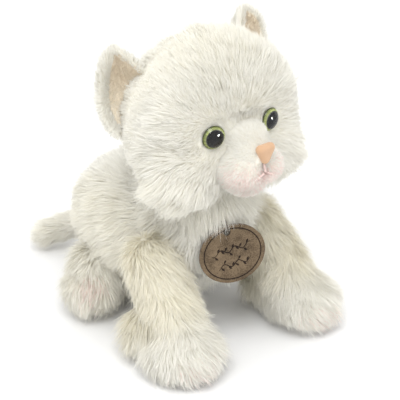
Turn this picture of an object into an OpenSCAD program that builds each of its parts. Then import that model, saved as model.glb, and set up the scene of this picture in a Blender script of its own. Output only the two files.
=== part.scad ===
// Plush cat, lying with its chest raised on splayed front legs. Sewn long-pile covers hold fibre stuffing,
// and pellet bags weigh down the seat and the feet. Lengths are millimetres.
// X points to the cat's left, Y to its tail and Z up. The origin is the middle of the flat seat it rests on.

/* [Cloth] */
// Thickness of a plush cover with its pile pressed down
cover_t = 4; // [3:0.5:5]
// Thickness of the short-pile cloth of the muzzle and ears
short_t = 2.4; // [1.6:0.2:3]
// Room between a cover and what fills it
fill_gap = 0.3; // [0.2:0.1:0.5]
// Room between a limb's round root and the socket it turns in
socket_gap = 0.6; // [0.4:0.1:1]

/* [Body] */
// Seat of the body across, along and up
seat_size = [92, 116, 88]; // [80:1:130]
// Middle of the seat above the floor
seat_z = 38; // [34:1:42]
// Back of the body across, along and up
back_size = [100, 126, 86]; // [80:1:140]
// Middle of the back
back_at = [0, -8, 60]; // [-20:1:70]
// Chest across, along and up
chest_size = [57, 70, 72]; // [50:1:80]
// Middle of the chest
chest_at = [0, -50, 72]; // [-60:1:80]

/* [Neck] */
// Middle of the neck, which the head turns and nods about
neck_at = [0, -60, 100]; // [-70:1:110]
// Radius of the neck
neck_r = 28; // [24:1:30]

/* [Head] */
// Middle of the head
head_at = [0, -70, 163]; // [-80:1:170]
// Head across, along and up
head_size = [132, 88, 108]; // [80:1:140]
// Muzzle across, along and up
muzzle_size = [54, 42, 40]; // [38:1:56]
// Middle of the muzzle from the middle of the head
muzzle_off = [0, -36, -24]; // [-40:1:0]
// Bridge of the nose across, along and up
bridge_size = [27, 46, 26]; // [22:1:48]
// Middle of the bridge from the middle of the head
bridge_off = [0, -34, -12]; // [-40:1:0]
// Width of the nose
nose_w = 14; // [11:0.5:16]

/* [Eyes] */
// Diameter of a safety eye
eye_d = 15; // [12:0.5:16]
// Distance between the middles of the eyes
eye_gap = 45; // [40:1:50]
// Angle by which each eye looks outwards
eye_splay = 12; // [0:1:20]
// Radius of the hollow pulled in round each eye
eye_hollow_r = 18; // [16:1:20]

/* [Ears] */
// Ear along its base, up to its tip and through its cup
ear_size = [54, 36, 18]; // [16:1:58]
// Width of the roll of cloth where an ear is sewn on
ear_root_l = 40; // [34:1:44]

/* [Front legs] */
// Middle of the left shoulder
shoulder_at = [50, -64, 68]; // [-70:1:72]
// Radius of the shoulder
shoulder_r = 22; // [20:0.5:22]
// Left front paw across, along and up
paw_size = [48, 52, 44]; // [40:1:54]
// Middle of the left front paw
paw_at = [51, -104, 20]; // [-110:1:60]
// Radius of an elbow
elbow_r = 20; // [16:1:21]
// Middle of the left elbow
elbow_at = [51, -76, 21]; // [-84:1:60]

/* [Hind legs] */
// Middle of the left hip
hip_at = [42, 2, 27]; // [0:1:46]
// Radius of the hip
hip_r = 24; // [22:0.5:24]
// Radius of a hind foot
foot_r = 20.5; // [19:0.5:22]
// Middle of the left hind foot
foot_at = [55, -11, 19.5]; // [-14:0.5:60]

/* [Tail] */
// Radius of the tail's root
tail_r = 11; // [10:0.5:13]
// Middle of the tail's root
tail_at = [0, 60, 24]; // [0:1:64]
// Length of the tail behind its root
tail_l = 47; // [40:1:60]

/* [Tag] */
// Oval tag across and up
tag_size = [46, 40]; // [34:1:50]
// Thickness of each of the tag's two layers
tag_t = 1.2; // [0.8:0.1:1.5]
// Middle of the tag
tag_at = [-3, -98, 72]; // [-104:1:76]
// Angle by which the tag faces the cat's right, lies back, and is turned in its own plane
tag_turn = [20, 12, 11]; // [-20:1:30]

/* [Hidden] */
$fn = 64;

fur = "ivory";
fill = "whitesmoke";
pellets = "lightgray";
fill_in = cover_t + fill_gap;
room = 400;

// ---- Shapes that repeat ----

// An ellipsoid of the given full size, made smaller all round by inset, with its surface's seam at angle seam
module egg(at, size, inset = 0, seam = 0) {
    translate(at) scale(size / 2 - [inset, inset, inset]) rotate([0, 0, seam]) sphere(1);
}

function unit(v) = v / norm(v);

// A round bar from point a to point b whose radius runs from ra to rb
module bar(a, b, ra, rb) {
    run = b - a;
    translate(a) rotate([0, acos(run.z / norm(run)), atan2(run.y, run.x)]) cylinder(h = norm(run), r1 = ra, r2 = rb);
}

// Everything above height z
module above(z) {
    translate([-room / 2, -room / 2, z]) cube(room);
}

// A point or a shape on the left, or its mirror image on the right
function on_side(p, side) = [side * p.x, p.y, p.z];
module mirrored(side) {
    if (side > 0) children();
    else mirror([1, 0, 0]) children();
}

// ---- Body ----

// The body's form, made smaller all round by inset, with a socket for each limb
module torso_form(inset) {
    difference() {
        intersection() {
            union() {
                egg([0, 0, seat_z], seat_size, inset);
                egg(back_at, back_size, inset);
                egg(chest_at, chest_size, inset);
            }
            above(inset);
        }
        translate(neck_at) sphere(neck_r + socket_gap + inset);
        translate([neck_at.x, neck_at.y, neck_at.z - 3 - inset]) cylinder(h = 60, r = 46 + inset);
        for (side = [1, -1]) {
            translate(on_side(shoulder_at, side)) sphere(shoulder_r + socket_gap + inset);
            translate(on_side(hip_at, side)) sphere(hip_r + socket_gap + inset);
            translate(on_side(foot_at, side)) sphere(foot_r + socket_gap + inset);
        }
        translate(tail_at) sphere(tail_r + socket_gap + inset);
    }
}

belly_bag_at = [0, 26, 26];
belly_bag_size = [36, 28, 28];

module torso_cover() {
    color(fur) difference() {
        torso_form(0);
        torso_form(cover_t);
    }
}

module torso_stuffing() {
    color(fill) difference() {
        torso_form(fill_in);
        egg(belly_bag_at, belly_bag_size, -fill_gap);
    }
}

module belly_pellet_bag() {
    color(pellets) egg(belly_bag_at, belly_bag_size);
}

// ---- Neck ----

neck_tube_h = 40;

module neck_cover() {
    color(fur) translate(neck_at) intersection() {
        difference() {
            sphere(neck_r);
            sphere(neck_r - cover_t);
        }
        cylinder(h = neck_tube_h, r = neck_r + 1, center = true);
    }
}

module neck_stuffing() {
    color(fill) translate(neck_at) sphere(neck_r - fill_in);
}

// ---- Head ----

eye_at = [eye_gap / 2, -31, 1];

// Puts a shape at the left eye, with Z along the way that the eye looks, or at the right one
module at_eye(side) {
    mirrored(side) translate(head_at + eye_at) rotate([0, 0, eye_splay]) rotate([90, 0, 0]) children();
}

// The ear's root runs from its medial end to its lateral end, both from the middle of the head
ear_medial = [42, 15.5, 36];
ear_lateral = [62, 20.5, -5];
ear_tip = [61, 33, 50];
ear_base = (ear_medial + ear_lateral) / 2;
ear_x = unit(ear_lateral - ear_medial);
ear_rise = ear_tip - ear_base;
ear_y = unit(ear_rise - (ear_rise * ear_x) * ear_x);
ear_z = cross(ear_x, ear_y);

// Puts a shape at the left ear, with X down its base, Y out of the head and Z the way its cup opens, or at the right
module at_ear(side) {
    at = head_at + ear_base;
    mirrored(side) multmatrix([
        [ear_x.x, ear_y.x, ear_z.x, at.x],
        [ear_x.y, ear_y.y, ear_z.y, at.y],
        [ear_x.z, ear_y.z, ear_z.z, at.z]
    ]) children();
}

// The head's form, made smaller all round by inset
module head_form(inset) {
    difference() {
        egg(head_at, head_size, inset);
        translate(neck_at) sphere(neck_r + socket_gap + inset);
        for (side = [1, -1]) {
            at_eye(side) translate([0, 0, eye_hollow_r]) sphere(eye_hollow_r + inset);
            at_ear(side) rotate([0, 90, 0]) cylinder(h = 60, r = 6.5 + inset, center = true);
        }
    }
}

module muzzle_form(inset) {
    egg(head_at + muzzle_off, muzzle_size, inset);
    egg(head_at + bridge_off, bridge_size, inset);
}

eye_seat = 1.9;
eye_stem_r = 1.6;
eye_stem_l = 13;
washer_r = 7;
washer_t = 1.5;
washer_at = -cover_t - 2.6;

module head_cover() {
    color(fur) difference() {
        head_form(0);
        head_form(cover_t);
        for (side = [1, -1]) at_eye(side) cylinder(h = 24, r = eye_stem_r + 0.3, center = true);
    }
}

module head_stuffing() {
    color(fill) difference() {
        head_form(fill_in);
        for (side = [1, -1]) at_eye(side) translate([0, 0, -eye_stem_l - 1]) cylinder(h = 16, r = washer_r + 0.4);
    }
}

nose_at = head_at + [0, -55.5, -7.5];
nose_stem_r = 1.5;
nose_washer_at = 9;

module muzzle_cover() {
    color("white") difference() {
        muzzle_form(0);
        muzzle_form(short_t);
        egg(head_at, head_size, -fill_gap);
        for (side = [1, -1]) at_eye(side) translate([0, 0, -1]) cylinder(h = 20, r = eye_d / 2 + 0.6);
        translate(nose_at) rotate([-90, 0, 0]) cylinder(h = 12, r = nose_stem_r + 0.2);
    }
}

module muzzle_stuffing() {
    color(fill) difference() {
        muzzle_form(short_t + fill_gap);
        egg(head_at, head_size, -fill_gap);
        for (side = [1, -1]) at_eye(side) translate([0, 0, -1]) cylinder(h = 20, r = eye_d / 2 + 3);
        translate(nose_at - [0, 2, 0]) rotate([-90, 0, 0]) cylinder(h = 16, r = 5.5);
        translate(nose_at) sphere(9);
    }
}

// The nose is a rounded triangle, point down, with a stem through the muzzle
module nose() {
    r = 3.2;
    color("burlywood") {
        hull() {
            for (side = [1, -1]) translate(nose_at + [side * (nose_w / 2 - r), 0, 3]) sphere(r, $fn = 32);
            translate(nose_at + [0, 0, -4]) sphere(r, $fn = 32);
        }
        translate(nose_at) rotate([-90, 0, 0]) cylinder(h = nose_washer_at + 2, r = nose_stem_r);
    }
}

module nose_washer() {
    color("white") translate(nose_at + [0, nose_washer_at, 0]) rotate([-90, 0, 0]) difference() {
        cylinder(h = washer_t, r = 3.4);
        translate([0, 0, -1]) cylinder(h = washer_t + 2, r = nose_stem_r + 0.05);
    }
}

// Thread of the mouth: a short stitch down from the nose and one to each side of its end
module mouth_stitch() {
    thread_r = 0.8;
    top = nose_at + [0, 0.9, -7.8];
    fork = nose_at + [0, -0.9, -13];
    color("pink") {
        bar(top, fork, thread_r, thread_r);
        for (side = [1, -1]) bar(fork + [side * 1.2, 0, -0.6], fork + [side * 8.5, 0.9, -4.5], thread_r, thread_r);
    }
}

// ---- Eyes: a clear dome over a printed iris, a black pupil with its stem, and a lock washer behind the cloth ----

iris_t = 0.8;
pupil_r = 5.5;
pupil_t = 0.9;

module eye_dome(side) {
    rise = 4.4;
    rim_r = eye_d / 2;
    ball_r = (rim_r * rim_r + rise * rise) / (2 * rise);
    color("white", 0.3) at_eye(side) translate([0, 0, eye_seat]) difference() {
        intersection() {
            translate([0, 0, rise - ball_r]) sphere(ball_r);
            cylinder(h = 10, r = rim_r + 1);
        }
        translate([0, 0, -1]) cylinder(h = 1 + iris_t + 0.05, r = rim_r - 0.9);
        cylinder(h = iris_t + pupil_t + 0.1, r = pupil_r + 0.05);
    }
}

module eye_iris(side) {
    color("yellowgreen") at_eye(side) translate([0, 0, eye_seat]) difference() {
        cylinder(h = iris_t, r = eye_d / 2 - 0.95);
        translate([0, 0, -1]) cylinder(h = iris_t + 2, r = eye_stem_r + 0.05);
    }
}

module eye_pupil(side) {
    color("black") at_eye(side) {
        translate([0, 0, eye_seat + iris_t + 0.02]) cylinder(h = pupil_t, r = pupil_r);
        translate([0, 0, eye_seat + iris_t + 0.5 - eye_stem_l]) cylinder(h = eye_stem_l, r = eye_stem_r);
    }
}

module eye_washer(side) {
    color("white") at_eye(side) translate([0, 0, washer_at]) difference() {
        cylinder(h = washer_t, r = washer_r);
        translate([0, 0, -1]) cylinder(h = washer_t + 2, r = eye_stem_r + 0.05);
    }
}

// ---- Ears: a cupped outer of plush with a lining of short cloth, on a sewn root roll ----

ear_root_r = 3.2;
ear_start = 8;
ear_shift = -6;

// The full ear before it is hollowed, made smaller by inset
module ear_blank(inset) {
    egg([ear_shift, 0, 0], [ear_size.x, ear_size.y * 2, ear_size.z], inset);
}

module ear_outer(side) {
    color(fur) at_ear(side) {
        difference() {
            intersection() {
                ear_blank(0);
                translate([-50, ear_start, -50]) cube(100);
            }
            translate([0, 0, 3.2]) ear_blank(short_t + 0.4);
        }
        translate([-ear_root_l / 2, 0, -4.6]) cube([ear_root_l, ear_start + 1, 2.4]);
        translate([-ear_root_l / 2, 0, 0]) rotate([0, 90, 0]) cylinder(h = ear_root_l, r = ear_root_r);
    }
}

module ear_lining(side) {
    color("wheat") at_ear(side) difference() {
        intersection() {
            translate([0, 0, 3.2]) ear_blank(short_t + 0.4 + fill_gap);
            ear_blank(1.2);
            translate([-50, ear_start + 1.4, -50]) cube(100);
        }
        translate([0, 0, 5.2]) ear_blank(short_t + 1.4);
    }
}

// ---- Legs ----

// Form of the front leg on one side, made smaller all round by inset
module front_leg_form(side, inset) {
    shoulder = on_side(shoulder_at, side);
    paw = on_side(paw_at, side);
    intersection() {
        union() {
            translate(shoulder) sphere(shoulder_r - inset);
            bar(shoulder, paw, shoulder_r - 1 - inset, shoulder_r - 4 - inset);
            translate(on_side(elbow_at, side)) rotate([0, 0, 90 - side * 90]) sphere(elbow_r - inset);
            egg(paw, paw_size, inset, 90);
        }
        above(inset);
    }
}

// Form of the hind leg on one side, which is short, with its foot turned outwards
module hind_leg_form(side, inset) {
    intersection() {
        union() {
            translate(on_side(hip_at, side)) rotate([0, 0, 90 + side * 90]) sphere(hip_r - inset);
            translate(on_side(foot_at, side)) rotate([0, 0, 90 + side * 90]) sphere(foot_r - inset);
        }
        above(inset);
    }
}

paw_bag_size = [26, 28, 20];
foot_bag_size = [20, 20, 18];

module front_leg_cover(side) {
    color(fur) difference() {
        front_leg_form(side, 0);
        front_leg_form(side, cover_t);
    }
}

module front_leg_stuffing(side) {
    color(fill) difference() {
        front_leg_form(side, fill_in);
        egg(on_side(paw_at, side), paw_bag_size, -fill_gap);
    }
}

module front_paw_pellets(side) {
    color(pellets) egg(on_side(paw_at, side), paw_bag_size);
}

module hind_leg_cover(side) {
    color(fur) difference() {
        hind_leg_form(side, 0);
        hind_leg_form(side, cover_t);
    }
}

module hind_leg_stuffing(side) {
    color(fill) difference() {
        hind_leg_form(side, fill_in);
        egg(on_side(foot_at, side), foot_bag_size, -fill_gap);
    }
}

module hind_foot_pellets(side) {
    color(pellets) egg(on_side(foot_at, side), foot_bag_size);
}

// ---- Tail: it leaves the rump, bends to the cat's right, comes down to the floor and ends in a blunt tip ----

tail_mid = tail_at + [-0.36 * tail_l, 0.51 * tail_l, -7];
tail_tip = tail_at + [-0.77 * tail_l, 0.64 * tail_l, -11];

module tail_form(inset) {
    intersection() {
        union() {
            translate(tail_at) sphere(tail_r - inset);
            bar(tail_at, tail_mid, tail_r - 0.6 - inset, tail_r - 0.6 - inset);
            translate(tail_mid) rotate([0, 0, 60]) sphere(tail_r - inset);
            bar(tail_mid, tail_tip, tail_r - 0.6 - inset, tail_r - inset);
            translate(tail_tip) rotate([0, 0, 180]) sphere(tail_r + 1 - inset);
        }
        above(inset);
    }
}

module tail_cover() {
    color(fur) difference() {
        tail_form(0);
        tail_form(cover_t);
    }
}

module tail_stuffing() {
    color(fill) tail_form(fill_in);
}

// ---- Tag: two ovals, hung by a ring of thread through an eyelet near their top ----

eyelet_r = 2.4;
eyelet_drop = 4.4;
thread_ring_r = 5.2;
// Where the thread leaves its ring and where it is sewn into the chest, from the middle of the tag
thread_start = [-0.6, 7.8, 15.7];
thread_end = [1.5, 15.5, 3.5];
thread_r = 0.6;

// Puts a shape at the tag, with X across it, Y up it and Z out of its face
module at_tag() {
    translate(tag_at) rotate([0, 0, -tag_turn.x]) rotate([90 - tag_turn.y, 0, 0]) rotate([0, 0, tag_turn.z]) children();
}

module tag_layer(start) {
    translate([0, 0, start]) difference() {
        scale([1, tag_size.y / tag_size.x, 1]) cylinder(h = tag_t, r = tag_size.x / 2);
        translate([0, tag_size.y / 2 - eyelet_drop, -1]) cylinder(h = tag_t + 2, r = eyelet_r);
    }
}

module tag_face() {
    color("rosybrown") at_tag() tag_layer(0.02);
}

module tag_backing() {
    color("tan") at_tag() tag_layer(-tag_t - 0.02);
}

module tag_thread() {
    color("dimgray") {
        at_tag() translate([0, tag_size.y / 2 - eyelet_drop + thread_ring_r, 0]) rotate([0, 90, 0])
            rotate_extrude() translate([thread_ring_r, 0]) circle(thread_r, $fn = 24);
        bar(tag_at + thread_start, tag_at + thread_end, thread_r - 0.1, thread_r - 0.1);
    }
}

torso_cover();
torso_stuffing();
belly_pellet_bag();
neck_cover();
neck_stuffing();
head_cover();
head_stuffing();
muzzle_cover();
muzzle_stuffing();
nose();
nose_washer();
mouth_stitch();
eye_dome(1);  // eye_left_dome
eye_iris(1);  // eye_left_iris
eye_pupil(1);  // eye_left_pupil
eye_washer(1);  // eye_left_washer
eye_dome(-1);  // eye_right_dome
eye_iris(-1);  // eye_right_iris
eye_pupil(-1);  // eye_right_pupil
eye_washer(-1);  // eye_right_washer
ear_outer(1);  // ear_left_outer
ear_lining(1);  // ear_left_lining
ear_outer(-1);  // ear_right_outer
ear_lining(-1);  // ear_right_lining
front_leg_cover(1);  // front_leg_left_cover
front_leg_stuffing(1);  // front_leg_left_stuffing
front_paw_pellets(1);  // front_paw_left_pellets
front_leg_cover(-1);  // front_leg_right_cover
front_leg_stuffing(-1);  // front_leg_right_stuffing
front_paw_pellets(-1);  // front_paw_right_pellets
hind_leg_cover(1);  // hind_leg_left_cover
hind_leg_stuffing(1);  // hind_leg_left_stuffing
hind_foot_pellets(1);  // hind_foot_left_pellets
hind_leg_cover(-1);  // hind_leg_right_cover
hind_leg_stuffing(-1);  // hind_leg_right_stuffing
hind_foot_pellets(-1);  // hind_foot_right_pellets
tail_cover();
tail_stuffing();
tag_face();
tag_backing();
tag_thread();
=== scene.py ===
"""A white plush cat: stuffed skins, fur of real strands, safety eyes, cupped ears and an oval suede tag."""

import math

import bmesh
import bpy
import numpy as np
from mathutils import Matrix, Vector
from mathutils.kdtree import KDTree


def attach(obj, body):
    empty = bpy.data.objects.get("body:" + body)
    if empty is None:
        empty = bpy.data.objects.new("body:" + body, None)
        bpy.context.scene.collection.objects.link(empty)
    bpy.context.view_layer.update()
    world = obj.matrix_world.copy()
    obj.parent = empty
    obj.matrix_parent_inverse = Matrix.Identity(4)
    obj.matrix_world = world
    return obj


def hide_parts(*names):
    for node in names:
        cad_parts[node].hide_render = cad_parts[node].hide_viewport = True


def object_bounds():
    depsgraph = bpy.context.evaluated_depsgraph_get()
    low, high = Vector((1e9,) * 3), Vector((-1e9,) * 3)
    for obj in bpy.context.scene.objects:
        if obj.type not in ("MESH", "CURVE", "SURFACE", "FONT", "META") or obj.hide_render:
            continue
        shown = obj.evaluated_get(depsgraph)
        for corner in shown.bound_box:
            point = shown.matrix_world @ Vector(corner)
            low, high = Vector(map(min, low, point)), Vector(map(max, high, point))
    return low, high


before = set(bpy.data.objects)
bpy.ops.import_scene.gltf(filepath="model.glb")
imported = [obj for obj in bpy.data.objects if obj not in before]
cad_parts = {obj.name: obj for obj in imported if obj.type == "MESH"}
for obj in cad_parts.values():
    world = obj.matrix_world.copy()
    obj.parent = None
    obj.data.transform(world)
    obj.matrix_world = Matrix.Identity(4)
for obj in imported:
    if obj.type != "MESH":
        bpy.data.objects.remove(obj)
cad_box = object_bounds()
scene = bpy.context.scene
MM = 0.001
FLOOR = 0.35  # the lowest that a strand goes, in mm
PROUD = 12.5  # the furthest that a strand stands out of the CAD's box, in mm
LOW, HIGH = np.array(cad_box[0]) / MM - PROUD, np.array(cad_box[1]) / MM + PROUD
SKIN_FLOOR = 1.0  # the lowest that a stuffed skin goes, in mm


# ---- Where things are, in mm, as in the CAD ----

def xyz(x, y, z):
    return np.array([x, y, z], float)


def unit(v):
    v = np.asarray(v, float)
    return v / np.maximum(np.linalg.norm(v, axis=-1, keepdims=True), 1e-9)


def turned(axis, degrees):
    return np.array(Matrix.Rotation(math.radians(degrees), 3, axis))


SIDES = {"left": 1, "right": -1}
HEAD = xyz(0, -70, 163)
NECK = xyz(0, -60, 100)
NOSE = HEAD + xyz(0, -56.5, -7.5)
SHOULDER = xyz(50, -64, 68)
PAW = xyz(51, -104, 20)
HIP = xyz(42, 2, 27)
FOOT = xyz(55, -11, 19.5)
TAIL = xyz(0, 60, 24)
TAIL_MID = TAIL + xyz(-17, 24, -7)
TAIL_TIP = TAIL + xyz(-36, 30, -11)
ELBOW = xyz(51, -76, 21)
TAG = xyz(-3, -98, 72)
TAG_HALF = (23.0, 20.0)
TAG_AXES = turned("Z", -20) @ turned("X", 78) @ turned("Z", 11)
EYE_SEAT, EYE_RADIUS, EYE_RISE = 1.9, 7.8, 4.4
# (radius, height) round the iris ring: up its outer slope, over its lip and down its bore
IRIS_PROFILE = [(7.65, 0.02), (7.65, 0.12), (6.9, 0.95), (6.15, 1.6), (5.5, 1.9), (5.5, 1.8), (5.62, 1.76),
                (5.62, 0.02)]
EAR_HEIGHT = {1: 1.3, -1: 0.97}  # the left ear stands taller than the right one
EAR_TWIST = {1: 12, -1: 0}  # and is turned further to the front, in degrees
EAR_MEDIAL, EAR_LATERAL, EAR_TIP = xyz(42, 15.5, 36), xyz(62, 20.5, -5), xyz(61, 33, 50)  # from the head


def on_side(point, side):
    """A point given for the left side, on that side."""
    return np.asarray(point, float) * (side, 1, 1)


def eye_place(side):
    """The middle of the eye's seat and the way it looks."""
    splay = math.radians(12)
    return HEAD + on_side((22.5, -31, 1), side), on_side((math.sin(splay), -math.cos(splay), 0), side)


def ear_frame(side):
    """An ear's base and its axes, as if on the left: down its base, out of the head, and the way it opens."""
    base = (EAR_MEDIAL + EAR_LATERAL) / 2
    along = unit(EAR_LATERAL - EAR_MEDIAL)
    rise = EAR_TIP - base
    out = unit(rise - (rise @ along) * along)
    down_base = np.array(Matrix.Rotation(math.radians(-EAR_TWIST[side]), 3, Vector(out)) @ Vector(along))
    return HEAD + base, np.stack([down_base, out, np.cross(down_base, out)], axis=1)


# ---- Camera, light and floor ----

def make_camera(azimuth=-38.0, elevation=24.0, distance=850.0, lens=117.693, head_right=0.9, head_up=7.83):
    """Looks at the cat from its front right. The head's place is in mm from the middle of a 36 mm sensor."""
    a, e = math.radians(azimuth), math.radians(elevation)
    back = Vector((math.sin(a) * math.cos(e), -math.cos(a) * math.cos(e), math.sin(e)))
    right = Vector((math.cos(a), math.sin(a), 0))
    up = back.cross(right)
    aim = -back - right * (head_right / lens) - up * (head_up / lens)
    data = bpy.data.cameras.new("camera")
    data.sensor_width = 36
    data.lens = lens
    camera = bpy.data.objects.new("camera", data)
    camera.location = (Vector(HEAD) + back * distance) * MM
    camera.rotation_euler = aim.to_track_quat("-Z", "Y").to_euler()
    scene.collection.objects.link(camera)
    scene.camera = camera


CHEST = (0, -0.03, 0.09)  # what the lights look at, in metres as their places are


def soft_light(name, place, size, watts):
    """A round area light that looks at the cat's chest."""
    data = bpy.data.lights.new(name, "AREA")
    data.shape = "DISK"
    data.size = size
    data.energy = watts
    lamp = bpy.data.objects.new(name, data)
    lamp.location = place
    lamp.rotation_euler = (Vector(CHEST) - Vector(place)).to_track_quat("-Z", "Y").to_euler()
    scene.collection.objects.link(lamp)
    return lamp


def make_stage():
    world = bpy.data.worlds.new("studio")
    scene.world = world
    world.use_nodes = True
    world.node_tree.nodes["Background"].inputs["Color"].default_value = (1, 1, 1, 1)
    world.node_tree.nodes["Background"].inputs["Strength"].default_value = 1.13
    soft_light("key", place=(-0.45, -0.5, 1.2), size=0.8, watts=8.5)
    catch = soft_light("catch", place=(0.40, -0.90, 0.25), size=0.3, watts=11.0)
    catch.visible_diffuse = False  # only a glint in the eyes
    mesh = bpy.data.meshes.new("floor")
    half = 6  # of the floor's width, in metres
    corners = [(-half, -half, 0), (half, -half, 0), (half, half, 0), (-half, half, 0)]
    mesh.from_pydata(corners, [], [(0, 1, 2, 3)])
    floor = bpy.data.objects.new("floor", mesh)
    scene.collection.objects.link(floor)
    mat = bpy.data.materials.new("floor")
    mat.use_nodes = True
    mat.node_tree.nodes["Principled BSDF"].inputs["Base Color"].default_value = (0.84, 0.84, 0.84, 1)
    mat.node_tree.nodes["Principled BSDF"].inputs["Roughness"].default_value = 0.9
    mesh.materials.append(mat)
    scene.view_settings.view_transform = "Standard"


# ---- Materials ----

class Nodes:
    """A material with a Principled shader, and short ways to add nodes to it."""

    def __init__(self, name, roughness=0.6, **constants):
        self.mat = bpy.data.materials.new(name)
        self.mat.use_nodes = True
        self.tree = self.mat.node_tree
        self.shader = self.tree.nodes["Principled BSDF"]
        self.shader.inputs["Roughness"].default_value = roughness
        for socket, value in constants.items():
            self.shader.inputs[socket.replace("_", " ")].default_value = value

    def add(self, kind, inputs=None, **settings):
        node = self.tree.nodes.new(kind)
        for key, value in settings.items():
            setattr(node, key, value)
        for key, value in (inputs or {}).items():
            if isinstance(value, bpy.types.NodeSocket):
                self.tree.links.new(value, node.inputs[key])
            else:
                node.inputs[key].default_value = value
        return node

    def place(self):
        return self.add("ShaderNodeTexCoord").outputs["Object"]

    def noise(self, scale, detail=3.0, vector=None):
        inputs = {"Scale": scale, "Detail": detail, "Vector": vector or self.place()}
        return self.add("ShaderNodeTexNoise", inputs).outputs["Fac"]

    def math(self, operation, a, b):
        return self.add("ShaderNodeMath", {0: a, 1: b}, operation=operation).outputs[0]

    def ramp(self, fac, *stops):
        ramp = self.add("ShaderNodeValToRGB", {"Fac": fac})
        while len(ramp.color_ramp.elements) < len(stops):
            ramp.color_ramp.elements.new(0.5)
        for element, (at, colour) in zip(ramp.color_ramp.elements, stops):
            element.position = at
            element.color = (*colour, 1)
        return ramp.outputs["Color"]

    def mix(self, fac, a, b, kind="MIX"):
        mix = self.add("ShaderNodeMix", {"Factor": fac}, data_type="RGBA", blend_type=kind)
        for key, value in ((6, a), (7, b)):
            if isinstance(value, bpy.types.NodeSocket):
                self.tree.links.new(value, mix.inputs[key])
            else:
                mix.inputs[key].default_value = (*value, 1)
        return mix.outputs[2]

    def colour(self, socket):
        self.tree.links.new(socket, self.shader.inputs["Base Color"])

    def bump(self, height, strength, distance):
        bump = self.add("ShaderNodeBump", {"Height": height, "Strength": strength, "Distance": distance})
        self.tree.links.new(bump.outputs["Normal"], self.shader.inputs["Normal"])
        return self


def pile_material(name, root, *stops, through=0.45):
    """Fur: its tint picks a strand's colour among stops, and root darkens it towards its root, partly a cream
    tint and partly painted shade where strands shadow one another. Light comes through it.
    """
    m = Nodes(name, 0.8, Sheen_Weight=0.15, Sheen_Roughness=0.5, Specular_IOR_Level=0.2)
    uv = m.add("ShaderNodeUVMap", uv_map="OFBake").outputs["UV"]
    split = m.add("ShaderNodeSeparateXYZ", {"Vector": uv})
    tint = m.ramp(split.outputs["X"], *stops)
    # painted shade: each strand is darker and creamier towards its root, for the shadow deep in the pile,
    # partly also a cream tint
    along = m.ramp(split.outputs["Y"], (0.0, root), (0.5, (1, 1, 1)))
    hair = m.mix(1.0, tint, along, "MULTIPLY")
    m.colour(hair)
    soft = m.add("ShaderNodeBsdfTranslucent", {"Color": hair})
    mix = m.add("ShaderNodeMixShader", {0: through, 1: m.shader.outputs[0], 2: soft.outputs[0]})
    m.tree.links.new(mix.outputs[0], m.tree.nodes["Material Output"].inputs["Surface"])
    return m.mat


def cloth_material(name, light, dark, scale=900.0):
    """Knitted backing cloth under the fur: a fine weave with soft blotches."""
    m = Nodes(name, 0.95, Sheen_Weight=0.3)
    m.colour(m.mix(m.noise(scale), dark, light))
    m.bump(m.noise(scale * 2), 0.3, 0.0004)
    return m.mat


def velour_material(name, light, dark):
    m = Nodes(name, 0.9, Sheen_Weight=0.5, Sheen_Roughness=0.4)
    m.colour(m.mix(m.noise(260.0, 5.0), dark, light))
    m.bump(m.noise(2600.0), 0.5, 0.0005)
    return m.mat


def suede_material(name, light, dark):
    m = Nodes(name, 0.95, Sheen_Weight=0.05, Specular_IOR_Level=0.15)
    nap = m.mix(0.5, m.noise(120.0, 6.0), m.noise(1400.0, 3.0))
    m.colour(m.ramp(nap, (0.38, dark), (0.6, light)))
    m.bump(m.noise(3000.0, 4.0), 0.55, 0.0004)
    return m.mat


def plain_material(name, colour, roughness, grain=600.0, depth=0.0002, **constants):
    """A moulded or spun material whose colour varies a little over a fine grain."""
    m = Nodes(name, roughness, **constants)
    shade = m.noise(grain)
    m.colour(m.mix(shade, tuple(c * 0.86 for c in colour), colour))
    m.bump(shade, 0.25, depth)
    return m.mat


def iris_material(side):
    """Olive green with fine streaks that run out from the middle, and a darker speckled rim."""
    middle, looks = eye_place(side)
    m = Nodes(f"iris_{side}", 0.4)
    offset = m.add("ShaderNodeVectorMath", {0: m.place(), 1: Vector(middle) * MM}, operation="SUBTRACT")
    across = m.add(
        "ShaderNodeVectorMath", {0: offset.outputs[0], 1: Vector(looks)}, operation="CROSS_PRODUCT")
    far = m.add("ShaderNodeVectorMath", {0: across.outputs[0]}, operation="LENGTH").outputs["Value"]
    ring = m.math("DIVIDE", far, EYE_RADIUS * MM)
    direction = m.add("ShaderNodeVectorMath", {0: across.outputs[0]}, operation="NORMALIZE").outputs[0]
    streaks = m.noise(9.0, 4.0, direction)
    green = m.ramp(streaks, (0.35, (0.21, 0.25, 0.05)), (0.65, (0.43, 0.47, 0.15)))
    speckle = m.ramp(m.noise(2200.0, 2.0), (0.42, (0.12, 0.16, 0.05)), (0.6, (0.55, 0.6, 0.3)))
    rim = m.ramp(ring, (0.0, (0, 0, 0)), (0.88, (0, 0, 0)), (0.97, (1, 1, 1)))
    lip = m.ramp(ring, (0.0, (0, 0, 0)), (0.755, (0, 0, 0)), (0.79, (1, 1, 1)))  # black next to the pupil
    m.colour(m.mix(1.0, lip, m.mix(rim, green, m.mix(1.0, green, speckle, "MULTIPLY")), "MULTIPLY"))
    return m.mat


def clear_material():
    m = Nodes("eye_clear", 0.02, Transmission_Weight=1.0, IOR=1.45, Specular_IOR_Level=0.25)
    m.colour(m.mix(m.noise(300.0), (0.97, 0.98, 0.96), (1, 1, 1)))
    return m.mat


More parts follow.
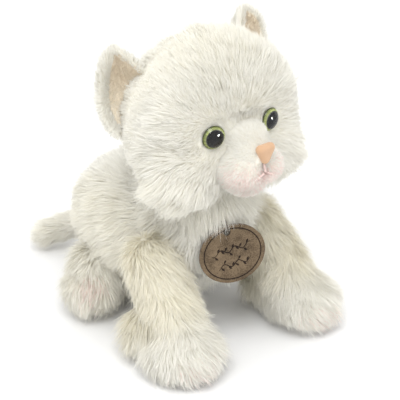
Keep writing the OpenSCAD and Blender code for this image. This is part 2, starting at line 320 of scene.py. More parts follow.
WHITE, CREAM, BLUSH = (0.91, 0.90, 0.855), (0.905, 0.87, 0.745), (0.89, 0.755, 0.72)
MATERIALS = {
    # the first colour of each pile is its root: partly a cream tint, partly painted shade deep in the pile
    "long_pile": pile_material("long_pile", (0.97, 0.955, 0.92), (0.0, WHITE), (0.15, WHITE), (0.6, CREAM),
                               (0.72, CREAM), (0.85, BLUSH)),
    "short_pile": pile_material("short_pile", (0.94, 0.92, 0.88), (0.0, WHITE), (0.15, WHITE), (0.9, BLUSH)),
    # the lining pile's darkest stop is painted shade, reached where ear_look darkens the deep of the cup
    "lining_pile": pile_material("lining_pile", (0.88, 0.84, 0.78), (0.0, (0.93, 0.89, 0.80)),
                                 (0.4, (0.90, 0.84, 0.73)), (1.0, (0.76, 0.65, 0.49)), through=0.2),
    "backing": cloth_material("backing", (0.87, 0.855, 0.78), (0.82, 0.80, 0.72)),
    "lining": velour_material("lining", (0.86, 0.79, 0.66), (0.80, 0.71, 0.56)),
    "nose": velour_material("nose_flock", (0.60, 0.385, 0.235), (0.52, 0.315, 0.18)),
    "mouth": plain_material("mouth_thread", (0.70, 0.54, 0.50), 0.95, Specular_IOR_Level=0.1),
    "pupil": plain_material("pupil", (0.001, 0.001, 0.001), 0.6, Specular_IOR_Level=0.0),
    "washer": plain_material("washer", (0.75, 0.74, 0.70), 0.45),
    "suede": suede_material("suede", (0.20, 0.145, 0.09), (0.075, 0.052, 0.032)),
    "burnt": suede_material("burnt_suede", (0.028, 0.017, 0.011), (0.014, 0.009, 0.006)),
    "felt": velour_material("felt", (0.22, 0.16, 0.11), (0.14, 0.10, 0.07)),
    "thread": plain_material("thread", (0.10, 0.08, 0.06), 0.7),
    "clear": clear_material(),
}


# ---- Stuffed skins: a closed form, remeshed, blown up as cloth, and laid on the floor ----

def new_object(name, mesh, *materials):
    ob = bpy.data.objects.new(name, mesh)
    scene.collection.objects.link(ob)
    for mat in materials:
        mesh.materials.append(mat)
    return ob


def evaluated(ob):
    """The object's mesh with its modifiers applied."""
    mesh = bpy.data.meshes.new_from_object(ob.evaluated_get(bpy.context.evaluated_depsgraph_get()))
    ob.modifiers.clear()
    old, ob.data = ob.data, mesh
    bpy.data.meshes.remove(old)
    return ob


def points_of(mesh):
    co = np.empty(len(mesh.vertices) * 3, np.float32)
    mesh.vertices.foreach_get("co", co)
    return co.reshape(-1, 3).astype(float)


def set_points(mesh, co):
    mesh.vertices.foreach_set("co", co.astype(np.float32).ravel())
    mesh.update()


def skin(name, balls, voxel=4.5, smooth=8):
    """One closed skin round balls, each a middle and half sizes in mm."""
    bm = bmesh.new()
    for middle, half in balls:
        half = np.broadcast_to(np.asarray(half, float), (3,))
        matrix = Matrix.Translation(Vector(middle) * MM) @ Matrix.Diagonal((*(half * MM), 1))
        bmesh.ops.create_icosphere(bm, subdivisions=4, radius=1, matrix=matrix)
    mesh = bpy.data.meshes.new(name)
    bm.to_mesh(mesh)
    bm.free()
    ob = new_object(name, mesh, MATERIALS["backing"])
    remesh = ob.modifiers.new("remesh", "REMESH")
    remesh.mode = "VOXEL"
    remesh.voxel_size = voxel * MM
    evaluated(ob)
    even = ob.modifiers.new("even", "SMOOTH")
    even.factor = 0.5
    even.iterations = smooth
    return evaluated(ob)


def along(a, b, ra, rb, count=6):
    """Balls from a to b, whose radius goes from ra to rb."""
    return [(a + (b - a) * t, ra + (rb - ra) * t) for t in np.linspace(0, 1, count)]


def blow_up(skins, cap):
    """Cloth with air in it, for 20 frames and no gravity. No point moves further than cap, in mm."""
    before = {ob: points_of(ob.data) for ob in skins}
    for ob in skins:
        cloth = ob.modifiers.new("cloth", "CLOTH")
        cloth.settings.use_pressure = True
        cloth.settings.uniform_pressure_force = 4
        cloth.settings.effector_weights.gravity = 0
        cloth.settings.quality = 4
    for number in range(1, 21):
        scene.frame_set(number)
    for ob in skins:
        evaluated(ob)
        move = points_of(ob.data) - before[ob]
        far = np.linalg.norm(move, axis=1, keepdims=True)
        set_points(ob.data, before[ob] + move * np.minimum(1, cap * MM / np.maximum(far, 1e-9)))
    scene.frame_set(1)


def lay_down(ob):
    """Nothing of a skin is under the floor, and its belly is flat on it."""
    co = points_of(ob.data)
    co[:, 2] = np.maximum(co[:, 2], SKIN_FLOOR * MM)
    set_points(ob.data, co)


def pull_in(ob, dents):
    """Dents a skin, in mm. Each dent is a middle, the way out of it, its half sizes and its depth. Without
    a depth it goes down to the middle, where an eye sits."""
    co = points_of(ob.data) / MM
    for middle, out, (wide, high), deep in dents:
        offset = co - middle
        depth = offset @ out
        side = unit(np.cross(out, (0, 0, 1)))
        up = np.cross(side, out)
        near = (offset @ side / wide) ** 2 + (offset @ up / high) ** 2
        amount = np.maximum(depth + 1.5, 0) if deep is None else deep
        co -= (np.exp(-near) * amount * (depth > -15))[:, None] * out
    set_points(ob.data, co * MM)


def finer(ob):
    sub = ob.modifiers.new("finer", "SUBSURF")
    sub.levels = sub.render_levels = 1
    evaluated(ob)
    ob.data.polygons.foreach_set("use_smooth", [True] * len(ob.data.polygons))
    return ob


def turned_form(name, profile, place, axes, material, ring=False, count=56):
    """A form turned about the last of axes from (radius, height) pairs, in mm. A ring is closed on itself."""
    angles = np.linspace(0, 2 * math.pi, count, endpoint=False)
    rows = [np.stack([r * np.cos(angles), r * np.sin(angles), np.full(count, h)], 1) for r, h in profile]
    faces = band_faces(len(profile), count, ring)
    return solid_mesh(name, place + np.concatenate(rows) @ axes.T, faces, material)


def tube(name, path, radii, material, flat_along=None, squash=0.5, closed=False, sides=8):
    """A round bar along path, in mm, made thinner by squash along one direction."""
    ahead = unit(np.roll(path, -1, 0) - np.roll(path, 1, 0)) if closed else unit(np.gradient(path, axis=0))
    up = unit(np.broadcast_to(flat_along, path.shape))
    across = unit(np.cross(ahead, up))
    radii = np.broadcast_to(radii, len(path))[:, None, None]
    angles = np.linspace(0, 2 * math.pi, sides, endpoint=False)[None, :, None]
    section = across[:, None] * np.cos(angles) + squash * up[:, None] * np.sin(angles)
    rows = path[:, None] + radii * section
    return solid_mesh(name, rows.reshape(-1, 3), band_faces(len(path), sides, closed), material)


def band_faces(rows, count, closed):
    """The faces between rows of count points each. The last row meets the first, or both are capped."""
    k = np.arange(rows * count).reshape(-1, count)
    over, under = (k, np.roll(k, -1, axis=0)) if closed else (k[:-1], k[1:])
    faces = np.stack([over, np.roll(over, -1, 1), np.roll(under, -1, 1), under], axis=-1)
    caps = [] if closed else [k[0].tolist(), k[-1].tolist()]
    return faces.reshape(-1, 4).tolist() + caps


def solid_mesh(name, points, faces, material):
    mesh = bpy.data.meshes.new(name)
    mesh.from_pydata((points * MM).tolist(), [], faces)
    bm = bmesh.new()
    bm.from_mesh(mesh)
    bmesh.ops.recalc_face_normals(bm, faces=bm.faces)
    bm.to_mesh(mesh)
    bm.free()
    mesh.polygons.foreach_set("use_smooth", [True] * len(mesh.polygons))
    mesh.set_sharp_from_angle(angle=math.radians(45))
    return new_object(name, mesh, material)


# ---- Fur ----

TIMES = np.linspace(0, 1, 5)  # where a strand's path is tested; every second one is a point of its mesh
WIDTHS = np.array([1.0, 0.85, 0.0])
STRANDS_A_PIECE = 60000
STRAYS = 0.05  # how many of the strands are longer and stand out
EYE_BARE, NOSE_BARE = 7.7, (6.6, 6.0)  # the radius and the half sizes that fur leaves free, in mm


def wander(p, size, rng):
    """A smooth random direction at each point, which changes over about size mm."""
    out = np.zeros_like(p)
    for _ in range(6):
        wave = rng.normal(0, 1, 3) * 2 * math.pi / size / 1.7
        out += np.sin(p @ wave + rng.uniform(0, 6.3))[:, None] * rng.normal(0, 1, 3)
    return out / 2.4


def roots_on(ob, per_mm2, rng):
    """Evenly random points on a mesh, in mm, with their normals."""
    mesh = ob.data
    mesh.calc_loop_triangles()
    tris = np.empty(len(mesh.loop_triangles) * 3, np.int32)
    mesh.loop_triangles.foreach_get("vertices", tris)
    tris = tris.reshape(-1, 3)
    co = points_of(mesh) / MM
    normals = np.empty(len(mesh.vertices) * 3, np.float32)
    mesh.vertex_normals.foreach_get("vector", normals)
    normals = normals.reshape(-1, 3).astype(float)
    a, b, c = (co[tris[:, k]] for k in range(3))
    area = np.linalg.norm(np.cross(b - a, c - a), axis=1) / 2
    count = int(area.sum() * per_mm2)
    pick = rng.choice(len(tris), count, p=area / area.sum())
    u, v = rng.random((2, count))
    flip = u + v > 1
    u[flip], v[flip] = 1 - u[flip], 1 - v[flip]
    weights = np.stack([1 - u - v, u, v], axis=1)[:, :, None]
    return (co[tris[pick]] * weights).sum(1), unit((normals[tris[pick]] * weights).sum(1))


def flat_to(v, normals):
    """The part of v that lies along the surface, as unit vectors."""
    v = np.broadcast_to(v, normals.shape)
    return unit(v - (v * normals).sum(1, keepdims=True) * normals)


def smoothstep(x, low, high):
    t = np.clip((x - low) / (high - low), 0, 1)
    return t * t * (3 - 2 * t)


def distance_to_line(p, a, b):
    """From points to the line from a to b."""
    t = np.clip(((p - a) @ (b - a)) / ((b - a) @ (b - a)), 0, 1)
    return np.linalg.norm(p - (a + t[..., None] * (b - a)), axis=-1)


def face_clear(paths):
    """True for strands that leave the eyes and the nose bare."""
    ok = np.ones(len(paths), bool)
    for side in SIDES.values():
        middle, looks = eye_place(side)
        offset = paths - middle
        depth = offset @ looks
        radius = np.linalg.norm(offset - depth[..., None] * looks, axis=-1)
        ok &= ~((radius < EYE_BARE) & (depth > 0.5)).any(1)
    x, y, z = np.moveaxis(paths - NOSE, -1, 0)
    ok &= ~((np.abs(x) < NOSE_BARE[0]) & (np.abs(z + 0.5) < NOSE_BARE[1]) & (y < 3)).any(1)
    return ok


def with_halfway(paths):
    """The paths with a point added between every two."""
    out = np.empty((len(paths), 2 * paths.shape[1] - 1, 3))
    out[:, ::2] = paths
    out[:, 1::2] = (paths[:, 1:] + paths[:, :-1]) / 2
    return out


def tag_clear(paths):
    """True for strands that don't cross the tag or hang over its face, apart from its very top."""
    paths = with_halfway(with_halfway(paths))  # so that none steps across it
    x, y, z = np.moveaxis((paths - TAG) @ TAG_AXES, -1, 0)
    oval = (x / TAG_HALF[0]) ** 2 + (y / TAG_HALF[1]) ** 2
    crosses, over_face = np.abs(z) < 2.2, (z > -2.5) & (y < 16.0)
    return ~((oval < 1.03) & (crosses | over_face)).any(1)


def gather(paths, roots, per_clump, strength, rng):
    """Draws each strand's tip towards the nearest leader's, in wisps of about per_clump strands."""
    count = len(roots)
    leaders = rng.permutation(count)[: max(1, count // per_clump)]
    tree = KDTree(len(leaders))
    for k, leader in enumerate(leaders):
        tree.insert(roots[leader], k)
    tree.balance()
    nearest = leaders[[tree.find(r)[1] for r in roots]]
    pull = strength * rng.uniform(0.3, 1.0, (count, 1, 1)) * TIMES[None, :, None] ** 1.5
    return paths + pull * (paths[nearest] - paths)


def strands(name, ob, body, look, per_mm2, width, seed, material="long_pile", wisps=((45, 0.18), (6, 0.24)),
            clear=(), inside=(), spread=0.2):
    """Grows fur on a skin, but not inside those balls. look gives, for roots and normals, each strand's
    length, the way that it is combed, how far it stands up, its tint, and the chance that it is pink.
    wisps are pairs of how many strands share a wisp and how strongly they draw together."""
    rng = np.random.default_rng(seed)
    roots, normals = roots_on(ob, per_mm2, rng)
    for middle, half in inside:
        keep = (((roots - middle) / np.broadcast_to(half, (3,))) ** 2).sum(1) > 1
        roots, normals = roots[keep], normals[keep]
    length, comb, lift, tint, pink = look(roots, normals)
    count = len(roots)
    length = length * rng.uniform(0.7, 1.15, count) * (1 + 0.12 * wander(roots, 12, rng)[:, 0])
    comb = unit(comb + 0.36 * wander(roots, 26, rng) + rng.normal(0, spread, (count, 3)))
    comb = flat_to(comb, normals)
    stray = rng.random(count) < STRAYS
    length = length * (1 + 0.25 * stray)
    lift = lift + 0.10 * wander(roots, 16, rng)[:, 0] + 0.25 * stray
    start = unit(normals * (lift[:, None] + 0.35) + comb)
    end = unit(normals * (lift[:, None] - 0.12) + comb + rng.normal(0, spread * 0.7, (count, 3)))
    t = TIMES[None, :, None]
    bend = start[:, None] * (t - t * t / 2) + end[:, None] * t * t / 2
    paths = roots[:, None] + length[:, None, None] * bend
    for per_clump, strength in wisps:
        paths = gather(paths, roots, per_clump, strength, rng)
    step = paths - roots[:, None]
    space = np.where(step > 0, HIGH - roots[:, None], roots[:, None] - LOW) / np.maximum(np.abs(step), 1e-6)
    paths = roots[:, None] + step * np.minimum(1, space.min(axis=(1, 2)))[:, None, None]
    paths[..., 2] = np.maximum(paths[..., 2], FLOOR + rng.random((count, 1)) * 0.5)
    tint = np.clip(tint + rng.normal(0, 0.05, count), 0.02, 0.72)
    tint = np.where(rng.random(count) < pink, rng.uniform(0.85, 0.98, count), tint)

    keep = np.ones(count, bool)
    for test in clear:
        keep &= test(paths)
    paths, normals, tint = paths[keep][:, ::2], normals[keep], tint[keep]
    count = len(paths)

    ahead = unit(np.gradient(paths, axis=1))
    roll = rng.uniform(-0.6, 0.6, (count, 1, 1))
    across = unit(np.cross(ahead, normals[:, None] + 0 * ahead))
    across = across * np.cos(roll) + np.cross(ahead, across) * np.sin(roll)
    half = across * (width / 2 * rng.uniform(0.7, 1.2, (count, 1, 1)) * WIDTHS[None, :, None])
    verts = np.concatenate([(paths - half)[:, :2], (paths + half)[:, :2], paths[:, 2:]], axis=1)  # 5 a strand
    for part, first in enumerate(range(0, count, STRANDS_A_PIECE)):
        chunk = slice(first, first + STRANDS_A_PIECE)
        piece = strand_mesh(f"{name}_{part + 1}", verts[chunk], tint[chunk], MATERIALS[material])
        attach(piece, body)


def strand_mesh(name, verts, tint, material):
    """Each strand is a four-sided face and a pointed one. Its UV is its tint, and 0 to 1 from root to tip."""
    count = len(verts)
    corners = np.array([0, 2, 3, 1, 1, 3, 4])
    heights = np.array([0, 0, 1, 1, 1, 1, 2]) / 2
    mesh = bpy.data.meshes.new(name)
    mesh.vertices.add(count * 5)
    mesh.vertices.foreach_set("co", (verts * MM).astype(np.float32).ravel())
    mesh.loops.add(count * 7)
    of_strand = corners + 5 * np.arange(count)[:, None]
    mesh.loops.foreach_set("vertex_index", of_strand.astype(np.int32).ravel())
    mesh.polygons.add(count * 2)
    starts = np.array([0, 4]) + 7 * np.arange(count)[:, None]
    mesh.polygons.foreach_set("loop_start", starts.astype(np.int32).ravel())
    mesh.polygons.foreach_set("loop_total", np.tile([4, 3], count).astype(np.int32))
    mesh.polygons.foreach_set("use_smooth", np.ones(count * 2, bool))
    layer = mesh.uv_layers.new(name="OFBake")
    uv = np.empty((count, 7, 2), np.float32)
    uv[:, :, 0] = tint[:, None]
    uv[:, :, 1] = 0.02 + 0.96 * heights
    layer.data.foreach_set("uv", uv.ravel())
    mesh.update()
    return new_object(name, mesh, material)


# ---- How the fur lies on each part ----

def head_look(p, n):
    u = unit((p - HEAD) / (66, 44, 54))
    front = u @ unit((0, -1, -0.15))
    aside = np.abs(u[:, 0]) + 0.6 * np.maximum(u[:, 1], 0)
    cheek = smoothstep(-u[:, 2], 0.0, 0.7) * smoothstep(aside, 0.2, 0.75)
    chin = smoothstep(-u[:, 2], 0.55, 0.9) * smoothstep(-u[:, 1], -0.2, 0.3)
    nape = smoothstep(-u[:, 2], 0.1, 0.7) * smoothstep(u[:, 1], 0.0, 0.5)
    length = 13 - 4 * smoothstep(front, 0.35, 0.9) + 12 * cheek + 6 * chin + 8 * nape
    comb = unit(p - NOSE) + cheek[:, None] * (0, 0, -1.2) + chin[:, None] * (0, -0.6, -2) + (0, 0.15, -0.05)
    comb = comb + nape[:, None] * (0, 0.2, -1.4)
    for side in SIDES.values():
        lower = EAR_MEDIAL + 0.85 * (EAR_LATERAL - EAR_MEDIAL)
        ends = [HEAD + on_side(end, side) for end in (EAR_MEDIAL, lower)]
        front_side = smoothstep(HEAD[1] + 16 - p[:, 1], -6, 6)
        near = 2.0 + 0.3 * np.maximum(distance_to_line(p, *ends) - 5, 0)
        length = np.minimum(length, near + 8 * (1 - front_side))
    for side in SIDES.values():
        middle, looks = eye_place(side)
        offset = p - middle
        near = np.linalg.norm(offset - (offset @ looks)[:, None] * looks, axis=1)
        ahead = (offset @ looks) > -12
        length = np.where(ahead, np.minimum(length, 2.0 + 0.6 * np.maximum(near - 7.5, 0)), length)
        comb = comb + np.where(ahead, np.exp(-near / 9), 0)[:, None] * unit(offset) * 2.0
    lift = 0.30 + 0.30 * smoothstep(u[:, 2], 0.2, 0.9) - 0.08 * cheek + 0.2 * nape
    tint = 0.14 + 0.12 * cheek + 0.10 * smoothstep(u[:, 2], 0.5, 1.0)
    return length, flat_to(comb, n), lift, tint, 0 * tint


def muzzle_look(p, n):
    offset = p - NOSE
    far = np.linalg.norm(offset, axis=1)
    length = np.clip(1.6 + 0.11 * far, 2.0, 5.0)
    comb = unit(offset) + (0, 0.25, -0.05)
    low = smoothstep(NOSE[2] - p[:, 2], 2, 16) * smoothstep(-p[:, 1], 104, 120)
    mouth = np.exp(-(((p - NOSE - (0, 1, -14)) / 4.5) ** 2).sum(1))
    over_stitches = np.exp(-(((p - NOSE - (0, 1, -15)) / (9, 9, 5)) ** 2).sum(1))
    length = length + 1.6 * over_stitches
    tint = np.full(len(p), 0.05)
    return length, flat_to(comb, n), 0.25 + 0.7 * over_stitches, tint, 0.42 * low + 0.5 * mouth


def torso_look(p, n):
    chest = smoothstep(-p[:, 1], 40, 85)
    length = 17 + 4 * chest
    comb = np.stack([0.2 * np.sign(p[:, 0]) * chest, 0.75 - 1.0 * chest, -0.8 - 0.35 * chest], axis=1)
    low = smoothstep(-n[:, 2], 0.3, 0.8) * smoothstep(-p[:, 2], -12, -4)
    length = length * (1 - 0.8 * low)
    cream = 0.16 * smoothstep(np.abs(p[:, 0]), 12, 40)
    return length, flat_to(comb, n), 0.42 - 0.2 * low, 0.12 + cream, 0 * low


def leg_look(side):
    shoulder, paw, elbow = on_side(SHOULDER, side), on_side(PAW, side), on_side(ELBOW, side)

    def look(p, n):
        down = unit(paw - shoulder)
        reach = smoothstep((p - shoulder) @ down, 30, 62)
        spread = unit((p - paw) * (1, 1, 0.3))
        on_paw = reach[:, None]
        comb = down * (1 - on_paw) + on_paw * (spread * 0.9 + (0, -0.45, -0.5)) + (0, 0, -0.2)
        backwards = n @ unit(on_side((0.5, 0.8, -0.3), side))
        fringe = smoothstep(backwards, 0.2, 0.8) * smoothstep(-p[:, 2], -50, -25)
        length = 16 - 1 * reach + 6 * fringe
        under = smoothstep(-n[:, 2], 0.2, 0.8) * smoothstep(-p[:, 2], -14, -4)
        toes = smoothstep(-p[:, 1], 112, 128) * smoothstep(-p[:, 2], -30, -12)
        length = length * (1 - 0.7 * under)
        return length, flat_to(comb, n), 0.36 - 0.22 * under, 0.42 - 0.27 * reach, 0.22 * toes

    return look


def hind_look(side):
    foot, hip = on_side(FOOT, side), on_side(HIP, side)

    def look(p, n):
        comb = unit(foot - hip) * 0.5 + (0, 0.1, -0.8) + 0 * p
        under = smoothstep(-n[:, 2], 0.2, 0.8) * smoothstep(-p[:, 2], -14, -4)
        sole = np.exp(-(((p - foot - on_side((10, -10, 14), side)) / 8) ** 2).sum(1))
        length = (15 - 5 * sole) * (1 - 0.7 * under)
        return length, flat_to(comb, n), 0.38 - 0.22 * under, 0.24 + 0 * sole, 0.65 * sole

    return look


def tail_look(p, n):
    reach = smoothstep((p - TAIL) @ unit(TAIL_TIP - TAIL), 0, 45)
    comb = unit(TAIL_TIP - TAIL) + (0, 0, -0.15) + 0 * p
    under = smoothstep(-n[:, 2], 0.2, 0.8) * smoothstep(-p[:, 2], -10, -3)
    flat = np.zeros(len(p))
    return (8 + 7 * reach) * (1 - 0.6 * under), flat_to(comb, n), flat + 0.35, flat + 0.22, flat


def neck_look(p, n):
    flat = np.zeros(len(p))
    return flat + 21, flat_to((0, -0.3, -1), n), flat + 0.55, flat + 0.2, flat


# ---- Ears ----

# the edge in the ear's own plane, in mm: from the top of its base to its tip, and down to its base again
EAR_EDGE = [(-20, -6), (-23.5, 3), (-26, 11.5), (-27.5, 18), (-26.5, 22), (-22.5, 24.5), (-15.5, 24.6),
            (-8, 23), (0, 20), (8.2, 15.8), (15.8, 10), (21, 3), (21.5, -6)]
EAR_CUP, EAR_CURL = 8.5, 3.2  # how deep the cup is, and how far the tip comes forward
# how far the lining lies inside the edge, as (part of the way along the edge, mm)
EAR_MARGINS = {1: [(0, 3.5), (0.35, 2.5), (1, 2.5)], -1: [(0, 2.0), (0.3, 2.5), (0.45, 6.0), (1, 5.5)]}


def smooth_line(points, per=8):
    """A Catmull-Rom line through points."""
    p = np.array([points[0], *points, points[-1]], float)
    out = []
    for k in range(1, len(p) - 2):
        t = np.linspace(0, 1, per, endpoint=False)[:, None]
        a, b, c, d = p[k - 1], p[k], p[k + 1], p[k + 2]
        square, cube = 2 * a - 5 * b + 4 * c - d, 3 * b - a - 3 * c + d
        out.append(0.5 * (2 * b + (c - a) * t + square * t**2 + cube * t**3))
    return np.vstack([*out, p[-2][None]])


def inset_edge(edge, margins):
    """The edge moved inwards, by a margin that changes along it."""
    line = np.array(edge, float)
    ahead = unit(np.gradient(line, axis=0))
    inwards = np.stack([ahead[:, 1], -ahead[:, 0]], axis=1)
    return line + inwards * np.interp(np.linspace(0, 1, len(line)), *zip(*margins))[:, None]


def ear_hollow(flat, side):
    """How far the ear's front lies back at points of its own plane, and how far they are from its edge."""
    line = smooth_line(EAR_EDGE) * (1, EAR_HEIGHT[side])
    rim = np.linalg.norm(flat[:, None] - line[None], axis=2).min(1)
    curl = EAR_CURL * np.maximum(flat[:, 1] / 25, 0) ** 2 * smoothstep(flat[:, 0], -28, -12)
    return EAR_CUP * (1 - np.exp(-((rim / 9) ** 2))) - curl, rim


def ear_shell(name, side, edge, push, thick, material, bulge=0.0):
    """A cupped sheet with that edge, whose rim comes forward and whose back bulges near the head."""
    origin, axes = ear_frame(side)
    line = smooth_line(edge) * (1, EAR_HEIGHT[side])
    rings = np.linspace(0, 1, 14)
    base = np.full_like(line, -4.0)  # the sheet fans out from a straight line in the head
    base[:, 0] = np.linspace(line[0, 0] * 0.9, line[-1, 0] * 0.9, len(line))
    grid = base[None] + rings[:, None, None] * (line - base)[None]
    flat = grid.reshape(-1, 2)
    local = np.column_stack([flat, push - ear_hollow(flat, side)[0]])
    world = on_side(origin + local @ axes.T, side)
    rows, cols = len(rings), len(line)
    k = np.arange(rows * cols).reshape(rows, cols)
    faces = np.stack([k[:-1, :-1], k[1:, :-1], k[1:, 1:], k[:-1, 1:]], axis=-1).reshape(-1, 4)
    if side > 0:
        faces = faces[:, ::-1]
    mesh = bpy.data.meshes.new(name)
    mesh.from_pydata((world * MM).tolist(), [], faces.tolist())
    ob = new_object(name, mesh, MATERIALS[material])
    solid = ob.modifiers.new("thick", "SOLIDIFY")
    solid.thickness = thick * MM
    solid.offset = -1
    evaluated(ob)
    local = (on_side(points_of(ob.data) / MM, side) - origin) @ axes
    depth, rim = ear_hollow(local[:, :2], side)
    behind = smoothstep(-depth - local[:, 2], 0.2 * thick, 0.8 * thick)
    low = smoothstep(-local[:, 1], -30, -8)
    local[:, 2] -= bulge * behind * low * smoothstep(rim, 0, 3.5)
    set_points(ob.data, on_side(origin + local @ axes.T, side) * MM)
    return finer(ob)


def ear_look(side, length, tint):
    origin, axes = ear_frame(side)

    def look(p, n):
        local = (on_side(p, side) - origin) @ axes
        outwards = (local - (-4, 0, 0)) * (1, 1, 0.2)
        comb = on_side(unit(outwards) @ axes.T, side)
        flat = np.zeros(len(p))
        # painted shade: the lining gets darker towards the ear's medial side, in the deep of its cup
        shade = tint + 0.45 * smoothstep(-local[:, 0], -8, 14) * (tint > 0.2)
        return flat + length, flat_to(comb, n), flat + 0.5, shade, flat

    return look


def lining_clear(side):
    """True for strands of an ear that don't start under its lining."""
    origin, axes = ear_frame(side)

    def test(paths):
        local = (on_side(paths[:, 0], side) - origin) @ axes
        depth, rim = ear_hollow(local[:, :2], side)
        lower_down = 3.0 if side < 0 else -0.5  # the right ear's lining lies further in there
        margin = 3.5 + lower_down * smoothstep(local[:, 0] + local[:, 1], -4, 6)
        return (local[:, 2] < -depth - 1.5) | (rim < margin)

    return test


def add_ear(label, side, nth):
    """A plush shell with a lining in its cup, both with their nap."""
    body = f"ear_{label}"
    outer = ear_shell(f"ear_{label}_shell", side, EAR_EDGE, push=0.0, thick=3.4,
                      material="backing", bulge=5.0)
    inner_edge = inset_edge(EAR_EDGE, EAR_MARGINS[side])
    lining = ear_shell(f"ear_{label}_cloth", side, inner_edge, push=0.5, thick=0.4, material="lining")
    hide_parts(f"ear_{label}_outer")
    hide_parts(f"ear_{label}_lining")
    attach(outer, body)
    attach(lining, body)
    strands(f"ear_{label}_fur", outer, body, ear_look(side, length=5.5, tint=0.1),
            per_mm2=3.8, width=0.36, seed=40 + nth, material="short_pile", wisps=((12, 0.3),),
            clear=(lining_clear(side),))
    strands(f"ear_{label}_nap", lining, body, ear_look(side, length=1.9, tint=0.3),
            per_mm2=5.0, width=0.34, seed=50 + nth, material="lining_pile", wisps=((12, 0.2),))


# ---- Eyes, the CAD's own pieces, and the marks on the tag ----

def add_eye(label, side):
    """A clear cap whose flat back lies behind an iris ring, with the CAD's black pupil between them."""
    middle, looks = eye_place(side)
    across = unit(np.cross(looks, (0, 0, 1)))
    axes = np.stack([across, np.cross(looks, across), looks], axis=1)
    seat = middle + EYE_SEAT * looks
    ball = (EYE_RADIUS**2 + EYE_RISE**2) / (2 * EYE_RISE)
    radii = EYE_RADIUS * np.sin(np.linspace(0.02, math.pi / 2, 16))
    cap = [(r, EYE_RISE - ball + math.sqrt(ball**2 - r**2)) for r in radii]
    back = [(EYE_RADIUS, -0.3), (0.2, -0.3)]
    lens = turned_form(f"eye_{label}_lens", [*cap, *back], seat, axes, MATERIALS["clear"])
    iris = turned_form(f"eye_{label}_ring", IRIS_PROFILE, seat, axes, iris_material(side), ring=True)
    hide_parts(f"eye_{label}_dome")
    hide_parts(f"eye_{label}_iris")
    for ob, slot in ((lens, "eye_clear"), (iris, "eye_iris")):
        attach(ob, "head")


def dress(node, material):
    """Gives one of the CAD's own pieces its material."""
    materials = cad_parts[node].data.materials
    materials.clear()
    materials.append(MATERIALS[material])


STEM_RADIUS = 0.42  # of the burnt lines, in mm


def on_tag(x, y, lift=1.2):
    """Points of the tag's own plane, at its face."""
    return TAG + np.column_stack([x, y, np.full(len(x), lift)]) @ TAG_AXES.T


def burnt(name, path, radii, **settings):
    """A bar of burnt suede, flat on the tag's face."""
    return tube(name, path, radii, MATERIALS["burnt"], TAG_AXES[:, 2], **settings)


def stem(x, height):
    """A sprig's wavy stem."""
    return height + 1.5 * np.sin(x * 0.62)


# ---- The cat ----

make_camera()
make_stage()

head = skin("head_skin", [
    (HEAD + (0, 1, 0), (62.5, 42, 52.5)),
    *((HEAD + on_side((30, -13, -27), s), (28, 25, 22)) for s in SIDES.values()),
], smooth=10)
muzzle = skin("muzzle_skin", [
    (HEAD + (0, -33, -23), (23, 20, 16)),
    (HEAD + (0, -34, -10), (14, 21.5, 13)),
    (HEAD + (0, -33, -2), (14.2, 17, 10.5)),
    (HEAD + (0, -36, -34), (13, 12, 9)),
    *((HEAD + on_side((9, -43.5, -22), s), (12.5, 12.5, 10)) for s in SIDES.values()),
], voxel=2.6, smooth=4)
neck = skin("neck_skin", [(NECK, (27, 30, 25)), (NECK + (0, 8, 2), (30, 28, 22))])
torso = skin("torso_skin", [
    ((0, 0, 38), (41, 53, 39)),
    ((0, -7, 61), (48.5, 61, 42)),
    ((0, -52, 78), (34, 33, 37)),
    ((0, -30, 78), (37, 36, 23)),
])
tail_root, tail_bend, tail_end = TAIL + (0, 0, 2), TAIL_MID + (0, 0, 2), TAIL_TIP + (3, 0, 2)
tail = skin("tail_skin", [*along(tail_root, tail_bend, 8.5, 7), *along(tail_bend, tail_end, 7, 6.5)],
            voxel=3.0, smooth=3)
legs, hinds = {}, {}
for label, s in SIDES.items():
    shoulder, paw, elbow = on_side((43, -64, 66), s), on_side(PAW, s) + (3.5, 1, 0), on_side(ELBOW, s)
    legs[label] = skin(f"front_leg_{label}_skin", [
        *along(shoulder, paw, 17.5, 16), (elbow, 17.5), (paw + on_side((1, -1, -2), s), (22, 24.5, 17.5)),
    ])
    thigh_and_foot = [(on_side(HIP, s), 21), (on_side(FOOT + (1, 5, 2), s), 17.5)]
    hinds[label] = skin(f"hind_leg_{label}_skin", thigh_and_foot)

skins = [head, muzzle, neck, torso, tail, *legs.values(), *hinds.values()]
blow_up(skins, cap=3.0)
for ob in skins:
    lay_down(ob)

# the head is pulled in round the eyes, along a crease between them and at the temples, and each paw
# between its toes
eyes = [(*eye_place(s), (14, 14), None) for s in SIDES.values()]
crease = (HEAD + (0, -41, 11), xyz(0, -1, 0), (17, 4), 5.0)
temples = [(HEAD + on_side((56, 0, 17), s), unit(on_side((1, -0.2, 0.35), s)), (13, 20), 6.0)
           for s in SIDES.values()]
pull_in(head, [*eyes, crease, *temples])
for label, s in SIDES.items():
    seams = [(on_side(PAW, s) + (x, -24, 4), unit((0, -1, 0.5)), (2.6, 9), 3.0) for x in (-8, 8)]
    pull_in(legs[label], seams)
for ob in skins:
    finer(ob)

hides = {
    "head": (head, ["head_cover", "head_stuffing"]),
    "muzzle": (muzzle, ["muzzle_cover", "muzzle_stuffing"]),
    "neck": (neck, ["neck_cover", "neck_stuffing"]),
    "torso": (torso, ["torso_cover", "torso_stuffing", "belly_pellet_bag"]),
    "tail": (tail, ["tail_cover", "tail_stuffing"]),
}
for name, (ob, nodes) in hides.items():
    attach(ob, {"muzzle": "head"}.get(name, name))
    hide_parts(*nodes)
for label in SIDES:
    for kind, ob, extra in (
        ("front_leg", legs[label], f"front_paw_{label}_pellets"),
        ("hind_leg", hinds[label], f"hind_foot_{label}_pellets"),
    ):
        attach(ob, f"{kind}_{label}")
        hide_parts(f"{kind}_{label}_cover", f"{kind}_{label}_stuffing", extra)

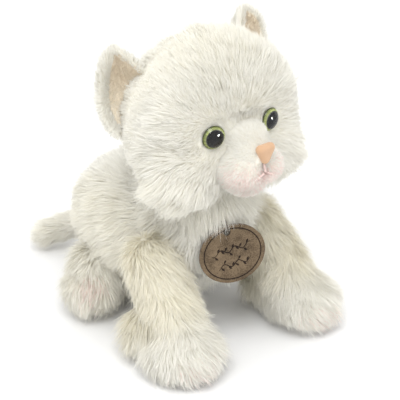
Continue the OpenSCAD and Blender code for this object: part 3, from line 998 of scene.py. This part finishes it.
# where other parts cover a skin, and no fur is grown on it
muzzle_core = [
    (HEAD + (0, -33, -20), (21, 18, 16)),
    (HEAD + (0, -34, -10), (14, 21, 13)),
    (HEAD + (0, -33, -2), (13, 17, 10)),
]
head_core = [(HEAD + (0, 1, 0), (59, 38, 49))]
torso_core = [((0, -8, 60), (43, 56, 36)), ((0, -52, 78), (32, 31, 35))]
seat_core = [((0, 0, 38), (40, 52, 38)), *torso_core]
leg_roots = [
    *((on_side(SHOULDER, s), 19) for s in SIDES.values()),
    *((on_side(HIP, s), 20) for s in SIDES.values()),
]

face_and_tag = (face_clear, tag_clear)
strands("head_fur", head, "head", head_look, per_mm2=2.4, width=0.42, seed=11,
        clear=face_and_tag, inside=muzzle_core)
strands("muzzle_fur", muzzle, "head", muzzle_look, per_mm2=6.0, width=0.34, seed=12,
        material="short_pile", wisps=((12, 0.3),), clear=face_and_tag, inside=head_core)
strands("neck_fur", neck, "neck", neck_look, per_mm2=2.0, width=0.44, seed=13, clear=(tag_clear,))
strands("torso_fur", torso, "torso", torso_look, per_mm2=2.0, width=0.45, seed=14,
        clear=(tag_clear,), inside=leg_roots)
strands("tail_fur", tail, "tail", tail_look, per_mm2=2.8, width=0.42, seed=15)
for k, (label, s) in enumerate(SIDES.items()):
    strands(f"front_leg_{label}_fur", legs[label], f"front_leg_{label}", leg_look(s), per_mm2=2.2,
            width=0.44, seed=20 + k, clear=(tag_clear,), inside=torso_core)
    strands(f"hind_leg_{label}_fur", hinds[label], f"hind_leg_{label}", hind_look(s), per_mm2=2.2,
            width=0.44, seed=30 + k, inside=seat_core)
    add_ear(label, s, k)
    add_eye(label, s)
    for node in ("pupil", "washer"):
        dress(f"eye_{label}_{node}", node)

# what is burnt into the tag: a line round its edge and two sprigs of leaves
turn = np.linspace(0, 2 * math.pi, 96, endpoint=False)
rim = on_tag(0.87 * TAG_HALF[0] * np.cos(turn), 0.87 * TAG_HALF[1] * np.sin(turn))
marks = [burnt("tag_line", rim, STEM_RADIUS, closed=True)]
for row, (height, reach) in enumerate(((3.2, 14.5), (-7.0, 12.0))):
    x = np.linspace(-reach, reach, 60)
    radii = STEM_RADIUS * np.sin(np.linspace(0.15, math.pi - 0.15, 60)) ** 0.5
    marks.append(burnt(f"tag_sprig_{row}", on_tag(x, stem(x, height)), radii))
    for k, at in enumerate(np.arange(-reach + 2, reach - 2, 2.6)):
        up = 1 if k % 2 else -1
        t = np.linspace(0, 1, 12)
        leaf = on_tag(at + 1.9 * t, stem(at, height) + up * (0.4 + 3.1 * t - 0.8 * t * t))
        marks.append(burnt(f"tag_leaf_{row}_{k}", leaf, 0.12 + 0.62 * np.sin(math.pi * t), squash=0.4))
for ob in marks:
    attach(ob, "tag")

dress("nose", "nose")
dress("nose_washer", "washer")
dress("mouth_stitch", "mouth")
dress("tag_face", "suede")
dress("tag_backing", "felt")
dress("tag_thread", "thread")
